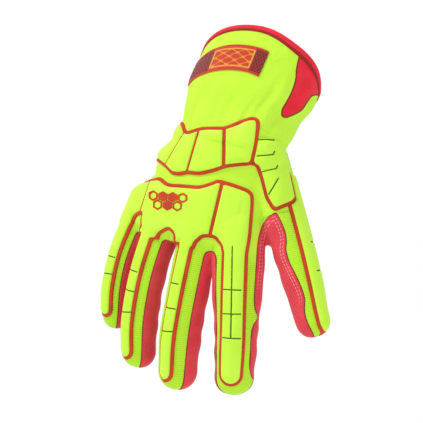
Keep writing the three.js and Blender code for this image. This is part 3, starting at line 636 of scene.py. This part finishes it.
class Skin:
    """A triangle mesh with normals and fields at its points, which can be cut along a field."""

    def __init__(self, points, normals, fields, triangles):
        self.points, self.normals, self.fields, self.triangles = points, normals, fields, triangles

    def cut(self, values):
        """Splits every triangle that the zero of the values crosses. Returns the skin and its values."""
        f = values.copy()
        count = len(self.points)
        span = f[self.triangles]
        crossed = (span.min(1) < 0) & (span.max(1) > 0)
        t = self.triangles[crossed]
        edges = np.sort(half_edges(t), 1).astype(np.int64)
        edges = np.unique(edges[:, 0] * count + edges[:, 1])
        edges = np.stack([edges // count, edges % count], 1)
        fa, fb = f[edges.T]
        crosses = fa * fb < 0
        share = np.where(crosses, fa / np.where(crosses, fa - fb, 1), 0)
        # A crossing close to a point moves onto it, so that no sliver is left.
        f[edges[crosses & (share < SNAP), 0]] = 0
        f[edges[crosses & (share > 1 - SNAP), 1]] = 0
        fa, fb = f[edges.T]
        i, j = edges[fa * fb < 0].T
        share = f[i] / (f[i] - f[j])
        mixed = lambda v, s: np.concatenate([v, v[i] * (1 - s) + v[j] * s])
        points, normals = (mixed(v, share[:, None]) for v in (self.points, self.normals))
        normals[count:] /= np.linalg.norm(normals[count:], axis=1)[:, None]
        fields = {key: mixed(value, share) for key, value in self.fields.items()}
        f = np.concatenate([f, np.zeros(len(i))])
        keys = i * count + j

        def middle(a, b):
            key = np.minimum(a, b).astype(np.int64) * count + np.maximum(a, b)
            return count + np.clip(np.searchsorted(keys, key), 0, max(len(keys) - 1, 0))

        sign = np.sign(f[t])
        mixed_rows = (sign.min(1) < 0) & (sign.max(1) > 0)
        kept = [self.triangles[~crossed], t[~mixed_rows]]
        m, s = t[mixed_rows], sign[mixed_rows]
        has_zero = (s == 0).any(1)
        for k in range(3):
            a, b, c = m[:, k], m[:, (k + 1) % 3], m[:, (k + 2) % 3]
            sa, sb, sc = s[:, k], s[:, (k + 1) % 3], s[:, (k + 2) % 3]
            through = has_zero & (sa == 0)
            p = middle(b[through], c[through])
            kept.append(np.stack([a[through], b[through], p], 1))
            kept.append(np.stack([a[through], p, c[through]], 1))
            alone = ~has_zero & (sb == sc) & (sa != sb)
            a2, b2, c2 = a[alone], b[alone], c[alone]
            p, q = middle(a2, b2), middle(c2, a2)
            kept.append(np.stack([a2, p, q], 1))
            kept.append(np.stack([p, b2, c2], 1))
            kept.append(np.stack([p, c2, q], 1))
        return Skin(points, normals, fields, np.concatenate(kept)), f

    def split(self, key, *levels):
        skin = self
        for level in levels:
            skin, _ = skin.cut(skin.fields[key] - level)
        return skin

    def seen(self):
        """The points' places in the view."""
        return np.stack([self.fields["across"], self.fields["z"]], 1)

    def scored(self, levels):
        """Split beside and along the grooves, and nowhere else, with the distances to them as fields."""
        skin = self
        for a, b in GROOVES:
            a, b = np.array(a), np.array(b)
            way = (b - a) / np.linalg.norm(b - a)
            for level in levels:
                aside = (skin.seen() - a) @ np.array([-way[1], way[0]]) - level
                near = segment_distance(skin.seen(), a, b) < GROOVE_REACH
                skin, _ = skin.cut(np.where(near, aside, OUTSIDE))
        skin.fields["groove"] = nearest_line(skin.seen(), GROOVES)
        skin.fields["shallow"] = nearest_line(skin.seen(), SHALLOW)
        return skin

    def side(self, values_of):
        """The part where the values are below zero, with its edge exactly on it."""
        skin, f = self.cut(values_of(self.fields))
        rows = skin.triangles[f[skin.triangles].sum(1) < 0]
        used, index = np.unique(rows, return_inverse=True)
        fields = {key: value[used] for key, value in skin.fields.items()}
        return Skin(skin.points[used], skin.normals[used], fields, index.reshape(-1, 3))


def finer(skin):
    """The skin with every triangle parted into four."""
    t = skin.triangles
    edges, back = np.unique(np.sort(half_edges(t), 1), axis=0, return_inverse=True)
    a, b, c = back.reshape(3, -1) + len(skin.points)
    parts = [[t[:, 0], a, c], [t[:, 1], b, a], [t[:, 2], c, b], [a, b, c]]
    quarters = np.concatenate([np.stack(part, 1) for part in parts])
    halved = lambda v: np.concatenate([v, (v[edges[:, 0]] + v[edges[:, 1]]) / 2])
    fields = {key: halved(value) for key, value in skin.fields.items()}
    return Skin(halved(skin.points), halved(skin.normals), fields, quarters)


def open_edges(triangles):
    half = half_edges(triangles)
    size = triangles.max() + 1
    key = half[:, 0].astype(np.int64) * size + half[:, 1]
    back = half[:, 1].astype(np.int64) * size + half[:, 0]
    return half[~np.isin(key, back)]


def shelled(name, skin, outer, inner, body="root", attributes=()):
    """A closed piece between two heights over the skin."""
    outer = np.broadcast_to(outer, len(skin.points))
    inner = np.broadcast_to(inner, len(skin.points))
    count = len(skin.points)
    top = skin.points + skin.normals * outer[:, None]
    bottom = skin.points + skin.normals * inner[:, None]
    rim = open_edges(skin.triangles)
    a, b = rim.T
    walls = [np.stack([b, a, a + count], 1), np.stack([b, a + count, b + count], 1)]
    faces = np.concatenate([skin.triangles, skin.triangles[:, ::-1] + count, *walls])
    piece = new_object(name, np.concatenate([top, bottom]), faces.tolist())
    for key in attributes:
        values = np.concatenate([skin.fields[key]] * 2).astype(np.float32)
        piece.data.attributes.new(key, "FLOAT", "POINT").data.foreach_set("value", values)
    piece.data.shade_smooth()
    piece.data.set_sharp_from_angle(angle=math.radians(55))
    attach(piece, body)
    return piece


def shoulder(distance, radius):
    """Rises from 0 to 1 over a rounded shoulder, by the distance in from an edge."""
    t = np.clip(distance / radius, 0, 1)
    return np.sqrt(np.clip(1 - (1 - t) ** 2, 0, 1))


master = Skin(points, normals, FIELDS, triangles)
glove = master.side(lambda f: -f["below"])

# Materials


class Value:
    """A socket that adds, multiplies and compares as a number does, by nodes of its tree."""

    def __init__(self, tree, socket):
        self.tree, self.socket = tree, socket

    def maths(self, operation, b=0.0, c=0.0):
        made = node(self.tree, "ShaderNodeMath", {0: self, 1: b, 2: c}, operation=operation)
        return Value(self.tree, made.outputs[0])

    def __add__(self, other):
        return self.maths("ADD", other)

    def __mul__(self, other):
        return self.maths("MULTIPLY", other)

    def __gt__(self, other):
        return self.maths("GREATER_THAN", other)

    def __lt__(self, other):
        return self.maths("LESS_THAN", other)

    def __abs__(self):
        return self.maths("ABSOLUTE")

    def near(self, middle, reach):
        return self.maths("COMPARE", middle, reach)

    def wave(self, rate):
        return (self * rate).maths("SINE")


def node(tree, kind, values=(), **settings):
    made = tree.nodes.new(kind)
    for key, value in settings.items():
        setattr(made, key, value)
    for socket, value in dict(values).items():
        if isinstance(value, Value):
            tree.links.new(value.socket, made.inputs[socket])
        else:
            made.inputs[socket].default_value = value
    return made


class Finish:
    """A material, its node tree and its shader's sockets."""

    def __init__(self, name, roughness, specular, sheen=0.0):
        self.made = bpy.data.materials.new(name)
        self.made.use_nodes = True
        self.tree = self.made.node_tree
        self.shader = self.tree.nodes["Principled BSDF"].inputs
        self.shader["Roughness"].default_value = roughness
        self.shader["Sheen Weight"].default_value = sheen
        self.shader["Specular IOR Level"].default_value = specular

    def attribute(self, name):
        made = node(self.tree, "ShaderNodeAttribute", attribute_name=name)
        return Value(self.tree, made.outputs["Fac"])

    def place(self):
        return Value(self.tree, node(self.tree, "ShaderNodeTexCoord").outputs["Object"])

    def texture(self, kind, output, values, **settings):
        made = node(self.tree, "ShaderNodeTex" + kind, {"Vector": self.place(), **values}, **settings)
        return Value(self.tree, made.outputs[output])

    def noise(self, scale, detail=3.0):
        return self.texture("Noise", "Fac", {"Scale": scale, "Detail": detail, "Roughness": 0.55})

    def weave(self):
        """The cloth's threads, as a wave in each of two directions."""
        values = {"Scale": 560.0, "Distortion": 1.5, "Detail": 1.0}
        down, over = (self.texture("Wave", "Fac", values, bands_direction=way) for way in "ZX")
        return down + over

    def ramp(self, fac, first, last):
        made = node(self.tree, "ShaderNodeValToRGB", {"Fac": fac})
        for element, (place, colour) in zip(made.color_ramp.elements, (first, last)):
            element.position = place
            element.color = (*colour, 1)
        return Value(self.tree, made.outputs["Color"])

    def mixed(self, fac, *colours):
        a, b = (colour if isinstance(colour, Value) else (*colour, 1) for colour in colours)
        made = node(self.tree, "ShaderNodeMix", {0: fac, 6: a, 7: b}, data_type="RGBA")
        return Value(self.tree, made.outputs[2])

    def done(self, colour, height, distance, strength):
        values = {"Height": height, "Distance": distance, "Strength": strength}
        self.tree.links.new(colour.socket, self.shader["Base Color"])
        self.tree.links.new(node(self.tree, "ShaderNodeBump", values).outputs[0], self.shader["Normal"])
        return self.made


# The darker lime of the knit's rib troughs is painted shade.
LIME, LIME_RIB_SHADE, LIME_PALE = (0.50, 0.86, 0.035), (0.37, 0.72, 0.014), (0.56, 0.90, 0.06)
# The near-black lime of the pads' grooves is painted shade, laid over the grooves' dip in the pads.
LIME_GROOVE_SHADE = (0.05, 0.10, 0.01)
RED, RED_DEEP, SEAM = (0.60, 0.06, 0.008), (0.42, 0.03, 0.01), (0.2, 0.016, 0.01)
LEATHER, LEATHER_DEEP = (0.74, 0.05, 0.07), (0.63, 0.034, 0.048)
GRIP_DOT, THREAD = (0.80, 0.16, 0.2), (0.85, 0.3, 0.32)
TRIM, TRIM_DEEP = (0.86, 0.02, 0.045), (0.7, 0.014, 0.03)
LABEL_BROWN, LABEL_BLACK, LABEL_RED = (0.36, 0.02, 0.015), (0.07, 0.012, 0.012), (0.55, 0.03, 0.015)
LABEL_ORANGE, LABEL_GOLD, LABEL_FRAME = (0.62, 0.045, 0.008), (0.85, 0.30, 0.02), (0.85, 0.36, 0.04)

# Repeats, the grip's in metres. The stitches' rows lie this far inside the web's edge.
RIB_PITCH, LOOP_PITCH, STITCH_PITCH, THREAD_PITCH, GRIP_PITCH = 1.5, 1.3, 2.6, 0.5, 0.0024
STITCH_ROWS, STITCH_HALF = (-2.2, -4.0), 0.32


def lime_cloth():
    make = Finish("lime_cloth", 0.8, 0.15, sheen=0.08)
    along, across, finger = (make.attribute(key) for key in ("along", "round", "on_finger"))
    rib = abs(along.wave(math.pi / RIB_PITCH))
    knit = rib + across.wave(2 * math.pi / LOOP_PITCH) * 0.22
    height = node(make.tree, "ShaderNodeMix", {0: finger, 2: make.weave() * 0.18, 3: knit}).outputs[0]
    plain = make.ramp(make.noise(26.0), (0.3, LIME), (0.7, LIME_PALE))
    # Painted shade: on the fingers the ribs' troughs are coloured darker, where the ribs' bump also falls
    # away.
    cloth = make.mixed(finger * 0.85, plain, make.mixed(rib, LIME_RIB_SHADE, LIME))
    seam = make.attribute("leather") < 0.5
    return make.done(make.mixed(seam * 0.75, cloth, SEAM), Value(make.tree, height), 0.0003, 0.9)


def lime_sleeve():
    make = Finish("lime_sleeve", 0.8, 0.15, sheen=0.08)
    cloth = make.ramp(make.noise(22.0), (0.3, LIME), (0.7, LIME_PALE))
    seam = make.attribute("patch") < 0.6
    height = make.weave() * 0.25 + make.noise(60.0, 4.0) * 9.0
    return make.done(make.mixed(seam * 0.85, cloth, SEAM), height, 0.0003, 0.8)


def red_hide():
    make = Finish("red_hide", 0.7, 0.2, sheen=0.08)
    grain = make.texture("Voronoi", "Distance", {"Scale": 900.0})
    soft = make.noise(70.0, 5.0)
    parts = node(make.tree, "ShaderNodeSeparateXYZ", {"Vector": make.place()}).outputs
    x, y, up = (Value(make.tree, part) for part in parts)
    rate = 2 * math.pi / GRIP_PITCH
    dots = y.maths("MULTIPLY_ADD", 0.6, x).wave(rate) * up.wave(rate) > 0.35
    colour = make.ramp(soft, (0.3, LEATHER_DEEP), (0.68, LEATHER))
    colour = make.mixed(dots * 0.28, colour, GRIP_DOT)
    seam = make.attribute("leather") > -0.4
    colour = make.mixed(seam * 0.6, colour, SEAM)
    first, second = (make.attribute("web").near(row, STITCH_HALF) for row in STITCH_ROWS)
    rows = first.maths("MAXIMUM", second) * make.attribute("stitched")
    stitch = rows * (make.attribute("along").wave(2 * math.pi / STITCH_PITCH) > -0.3)
    colour = make.mixed(stitch * 0.8, colour, THREAD)
    return make.done(colour, grain * 0.7 + soft * 2.5 + dots * 0.5, 0.00022, 0.8)


def moulded(name, colour, deep, groove_shade=None):
    make = Finish(name, 0.5, 0.25)
    base = make.ramp(make.noise(45.0, 4.0), (0.25, deep), (0.75, colour))
    # Painted shade: the grooves are coloured near black, though they also dip in the pads' shape.
    if groove_shade:
        base = make.mixed((make.attribute("groove") < 0.5) * 0.9, base, groove_shade)
    return make.done(base, make.noise(900.0, 2.0), 0.00008, 0.6)


def red_tape():
    make = Finish("red_tape", 0.7, 0.2, sheen=0.08)
    twill = make.texture("Wave", "Fac", {"Scale": 300.0, "Distortion": 1.0}, bands_direction="DIAGONAL")
    tape = make.ramp(make.noise(60.0), (0.3, TRIM_DEEP), (0.7, TRIM))
    seam = make.attribute("patch") > -0.6
    return make.done(make.mixed(seam * 0.8, tape, SEAM), twill, 0.0002, 0.7)


def woven_label():
    """A lattice in a frame on an orange middle, with plain dark blocks on both sides of it."""
    make = Finish("woven_label", 0.7, 0.3, sheen=0.2)
    turn, below = make.attribute("turn"), make.attribute("below")
    half_turn, half_height = 24.5, 8.2
    middle = turn.near(LABEL_TURN, half_turn)
    inside = middle * below.near(LABEL_MIDDLE, half_height)
    ends = abs(turn + -LABEL_TURN).near(half_turn - 0.9, 0.9)
    edges = abs(below + -LABEL_MIDDLE).near(half_height - 0.6, 0.6)
    waves = (turn + -LABEL_TURN).wave(0.38) + (below + -27.5).wave(0.9)
    lattice = inside * (abs(waves) < 0.26)
    blocks = turn.wave(1.7) * below.wave(1.5) > 0.0
    dark = make.mixed(blocks * 0.85, LABEL_BROWN, LABEL_BLACK)
    sides = make.mixed(below.near(LABEL_MIDDLE, 9.4), LABEL_RED, dark)
    base = make.mixed(middle, sides, make.mixed(lattice, LABEL_ORANGE, LABEL_GOLD))
    base = make.mixed(inside * ends.maths("MAXIMUM", edges), base, LABEL_FRAME)
    return make.done(base, below.wave(2 * math.pi / THREAD_PITCH) + lattice * 1.5, 0.0001, 0.8)


SLEEVE, CLOTH, HIDE, TAPE, LABEL = lime_sleeve(), lime_cloth(), red_hide(), red_tape(), woven_label()
RED_RUBBER = moulded("red_rubber_finish", RED, RED_DEEP)
LIME_RUBBER = moulded("lime_rubber_finish", LIME_PALE, LIME, LIME_GROOVE_SHADE)


def finish_piece(piece, finish, slot, *nodes):
    piece.data.materials.append(finish)
    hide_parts(*nodes)


def cloth_area(skin):
    a, b, c = skin.points[skin.triangles.T]
    return float(np.linalg.norm(np.cross(b - a, c - a), axis=1).sum()) / 2e6


# Fabric, leather and trim


def fabric(name, skin, finish, slot, nodes, edge, attributes, flat, bulge=0):
    """A sheet that draws in beside its seam, where the edge field is near zero."""
    outer = -0.35 * (1 - shoulder(np.abs(skin.fields[edge]), 1.3))
    along = skin.fields["along"]
    waves = 0.5 + 0.5 * np.sin(along / 3.7 + 1.1 * np.sin(along / 13))
    outer = outer + bulge * waves * skin.fields["on_finger"]
    piece = shelled(name, skin, outer, -WALL, attributes=attributes)
    finish_piece(piece, finish, slot, *nodes)
    width, length = flat
    min(cloth_area(skin), width * length)


sleeve = glove.side(lambda f: CUFF_SEAM + 0.02 - f["z"]).side(lambda f: BINDING_HEIGHT - 1.2 - f["below"])
cuff_skin = sleeve.side(lambda f: 0.12 - f["patch"]).split("patch", 0.5, 1.0)
patch_skin = sleeve.side(lambda f: f["patch"] + 0.12).split("patch", -0.5, -1.0)
fabric("cuff_cloth", cuff_skin, SLEEVE, "lime_fabric", ["cuff"], "patch", ("patch",), (0.28, 0.08))
fabric("patch_cloth", patch_skin, TAPE, "red_trim", ["cuff_patch"], "patch", ("patch",), (0.027, 0.055))

hand = glove.side(lambda f: f["z"] - CUFF_SEAM + 0.02)
lime_skin = hand.side(lambda f: 0.15 - f["leather"]).split("leather", 0.6, 1.2)
hide_skin = hand.side(lambda f: f["leather"] + 0.15).split("leather", -0.6, -1.2)
fabric("back_cloth", lime_skin, CLOTH, "lime_fabric", ["back_panel", *[n + "_back" for n in names]],
       "leather", ("along", "round", "on_finger", "leather"), (0.21, 0.24))
fabric("palm_hide", hide_skin, HIDE, "red_leather", ["palm_leather", *[n + "_leather" for n in names]],
       "leather", ("along", "leather", "web", "stitched"), (0.25, 0.26), 0.65)

# Guards: a red base and lime pads on it


def over_border(f):
    """1 where the pad beside the thumb covers its base's border, 0 where the border shows."""
    return smoothstep(f["z"], THUMB_BASE_BARE - 2, THUMB_BASE_BARE + 1)


def guard(name, key, base_node, drawn_in=0):
    half = BORDER / 2 + 0.3
    edge_of = lambda f: f[key] - half + drawn_in * over_border(f)
    skin = glove.side(edge_of)
    skin.fields["edge"] = edge_of(skin.fields)
    skin = skin.split("edge", -0.12, -0.4, -0.8)
    outer = 0.05 + BASE_HEIGHT * shoulder(-skin.fields["edge"], 0.8)
    finish_piece(shelled(name, skin, outer, -0.1), RED_RUBBER, "red_rubber", base_node)


def pads(name, edge_of, pad_nodes, inner=BASE_HEIGHT - 0.6):
    skin = glove.side(edge_of)
    skin.fields["pad"] = edge_of(skin.fields)
    skin = skin.split("pad", -0.12, -0.35, -0.7, -1.3).scored((-1.1, -0.5, 0, 0.5, 1.1))
    depth = -skin.fields["pad"]
    dip = 0.85 * np.clip(1 - skin.fields["groove"] / 0.8, 0, 1) * smoothstep(depth, 0.0, 0.6)
    dip += 0.4 * np.exp(-((skin.fields["shallow"] / 0.9) ** 2))
    crown = PAD_CROWN * (1 - np.exp(-depth / 3.5))
    outer = BASE_HEIGHT + PAD_SHOULDER * shoulder(depth, 0.8) + crown - dip
    low = inner(skin.fields) if callable(inner) else inner
    piece = shelled(name, skin, outer, low, attributes=("groove",))
    finish_piece(piece, LIME_RUBBER, "lime_rubber", *pad_nodes)


HALF = BORDER / 2 + 0.1
guard("wrist_guard_base", "wrist", "wrist_guard")
guard("back_guard_base", "back", "back_guard")
guard("thumb_base_guard_base", "thumb_base", "thumb_base_guard", 2.4)
guard("thumb_guard_base", "thumb", "thumb_guard")
pads("wrist_pads", lambda f: np.maximum(f["wrist"] + HALF, f["wrist_line"]),
     ["wrist_pad_1", "wrist_pad_2", "wrist_pad_3", "wrist_pad_4"])
pads("back_pads", lambda f: np.maximum(f["back"] + HALF, f["back_line"]), ["index_pad", "knuckle_pad"])
pads("thumb_base_pads", lambda f: f["thumb_base"] + HALF * (1 - 2.1 * over_border(f)), ["thumb_base_pad"],
     lambda f: BASE_HEIGHT - 0.6 - (BASE_HEIGHT - 0.7) * over_border(f))
pads("thumb_pads", lambda f: f["thumb_top"], ["thumb_pad"])


# The emblem: a cluster of plain six-sided cells, three of them filled

# The pitch of the cells, and the rows: their level, how many cells, and which of them are filled.
CELL, CELL_TILT, EMBLEM_PLACE = 7.2, 12, (-35.5, -53.5)
CELL_ROWS = ((0, 4, (1, 2)), (-1, 3, (1,)))


def emblem_field(f):
    best = np.full(len(f["z"]), float(FAR))
    tilt = math.radians(CELL_TILT)
    east, north = f["across"] - EMBLEM_PLACE[0], f["z"] - EMBLEM_PLACE[1]
    u, v = east * math.cos(tilt) + north * math.sin(tilt), north * math.cos(tilt) - east * math.sin(tilt)
    for row, count, filled in CELL_ROWS:
        for i in range(count):
            x, y = (i - (count - 1) / 2) * CELL, (row + 0.5) * CELL * 0.866
            out = np.full(len(u), -np.inf)
            for k in range(6):
                a = math.radians(60 * k)
                out = np.maximum(out, (u - x) * math.cos(a) + (v - y) * math.sin(a) - CELL * 0.46)
            best = np.minimum(best, out if i in filled else np.abs(out + 0.55) - 0.55)
    return np.where(f["back"] < -2, best, FAR)


mark_area = glove.side(lambda f: np.hypot(f["across"] - EMBLEM_PLACE[0], f["z"] - EMBLEM_PLACE[1]) - 20)
mark = finer(mark_area).side(emblem_field)
pad_height = BASE_HEIGHT + PAD_SHOULDER + PAD_CROWN
emblem = shelled("emblem_mark", mark, pad_height + 0.35, pad_height - 0.6)
finish_piece(emblem, RED_RUBBER, "red_rubber", "emblem")

# The label


def label_field(f):
    sides = np.maximum(LABEL_FROM - f["turn"], f["turn"] - LABEL_TO) * 0.78
    return np.maximum.reduce([LABEL_TOP - f["below"], f["below"] - LABEL_BOTTOM, sides])


label_skin = glove.side(lambda f: np.where(f["z"] > 20, label_field(f), FAR))
label = shelled("label_cloth", label_skin, 0.85, 0.05, attributes=("turn", "below"))
finish_piece(label, LABEL, "label_weave", "label")

# The binding round the mouth


def binding():
    count = 360
    angle = np.linspace(0, 2 * np.pi, count, endpoint=False)
    top = rim_height(angle)
    rings = []
    profile = (
        (-BINDING_HEIGHT, 0.15), (-BINDING_HEIGHT + 0.15, 0.6), (-3.2, 0.75), (-2.6, 0.5), (-2.0, 0.8),
        (-0.9, 0.85), (-0.1, 0.45), (0.25, -0.4), (0.3, -1.0), (0.2, -1.7), (-0.3, -2.4), (-2, -2.6),
        (-BINDING_HEIGHT, -2.4), (-BINDING_HEIGHT, -1.6), (-BINDING_HEIGHT, -0.6),
    )
    turn = turn_of(section_point(angle, top))
    wider = 1 + 0.4 * np.exp(-(((turn - 62) / 36) ** 2))
    for up, out in profile:
        up = up * wider
        p = section_point(angle, top + up)
        along = np.roll(p, -1, 0) - np.roll(p, 1, 0)
        outward = np.cross(along, section_point(angle, top + up + 1) - p)
        outward /= np.linalg.norm(outward, axis=1)[:, None]
        rings.append(p + outward * out)
    rings = np.array(rings)
    rows = len(profile)
    hem = np.repeat([0.0 if up < -2.5 else -30.0 for up, _ in profile], count).astype(np.float32)
    a = np.arange(rows * count).reshape(rows, count)
    faces = np.stack([a, np.roll(a, -1, 1), np.roll(np.roll(a, -1, 1), -1, 0), np.roll(a, -1, 0)], -1)
    piece = new_object("binding_tape", rings.reshape(-1, 3), faces.reshape(-1, 4)[:, ::-1].tolist())
    piece.data.attributes.new("patch", "FLOAT", "POINT").data.foreach_set("value", hem)
    piece.data.shade_smooth()
    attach(piece, "root")
    finish_piece(piece, TAPE, "red_trim", "cuff_binding")


binding()

# Floor, light and camera

FLOOR_LEVEL, FLOOR_HALF, FLOOR_GLOW = -300, 1500, 0.76
corners = [(x * FLOOR_HALF, y * FLOOR_HALF, FLOOR_LEVEL) for x, y in ((-1, -1), (1, -1), (1, 1), (-1, 1))]
floor = new_object("floor", corners, [[0, 1, 2, 3]])
pale = Finish("pale_floor", 0.9, 0.1)
mottled = pale.ramp(pale.noise(3.0), (0.2, (0.29,) * 3), (0.8, (0.31,) * 3))
pale.tree.links.new(mottled.socket, pale.shader["Base Color"])
pale.shader["Emission Color"].default_value = (1, 1, 1, 1)
pale.shader["Emission Strength"].default_value = FLOOR_GLOW
floor.data.materials.append(pale.made)

# The world is white behind the glove and lights it a little less than that.
AMBIENT = 0.8
world = bpy.data.worlds.new("studio")
world.use_nodes = True
sky = world.node_tree
sky.nodes["Background"].inputs["Color"].default_value = (1, 1, 1, 1)
seen = Value(sky, node(sky, "ShaderNodeLightPath").outputs["Is Camera Ray"])
strength = seen.maths("MULTIPLY_ADD", 1 - AMBIENT, AMBIENT)
sky.links.new(strength.socket, sky.nodes["Background"].inputs["Strength"])
bpy.context.scene.world = world
bpy.context.scene.view_settings.view_transform = "Standard"


def soft_light(name, place, size, power):
    lamp = bpy.data.lights.new(name, "AREA")
    lamp.energy = power
    lamp.size = size
    holder = bpy.data.objects.new(name, lamp)
    bpy.context.scene.collection.objects.link(holder)
    holder.location = place
    holder.rotation_mode = "QUATERNION"
    holder.rotation_quaternion = (-Vector(place)).to_track_quat("-Z", "Y")


soft_light("key", (-0.75, -0.75, 0.8), 0.4, 9.5)
soft_light("fill", (0.9, -0.6, -0.1), 0.8, 1.5)

# The camera stands this far off. A pixel of the square frame is 0.75 mm at the glove, and the wrist's middle
# falls on this pixel, counted from the frame's left and top.
DISTANCE, PIXEL, FRAME_PIXELS, WRIST_PIXEL, SENSOR = 1500, 0.75, 423, (235, 145), 36
roll = math.radians(VIEW_ROLL)
up = np.array([0, 0, 1.0])
right = VIEW_ACROSS * math.cos(roll) + up * math.sin(roll)
above = up * math.cos(roll) - VIEW_ACROSS * math.sin(roll)
middle = FRAME_PIXELS / 2
aim = right * (middle - WRIST_PIXEL[0]) * PIXEL - above * (middle - WRIST_PIXEL[1]) * PIXEL
camera = bpy.data.objects.new("camera", bpy.data.cameras.new("camera"))
bpy.context.scene.collection.objects.link(camera)
axes = np.stack([right, above, VIEW_OUT], 1)
stand = Matrix.Translation(Vector((aim + VIEW_OUT * DISTANCE) / 1000))
camera.matrix_world = stand @ Matrix(axes.tolist()).to_4x4()
camera.data.sensor_width = SENSOR
camera.data.lens = SENSOR * DISTANCE / (FRAME_PIXELS * PIXEL)
camera.data.clip_start, camera.data.clip_end = 0.05, 20
bpy.context.scene.camera = camera
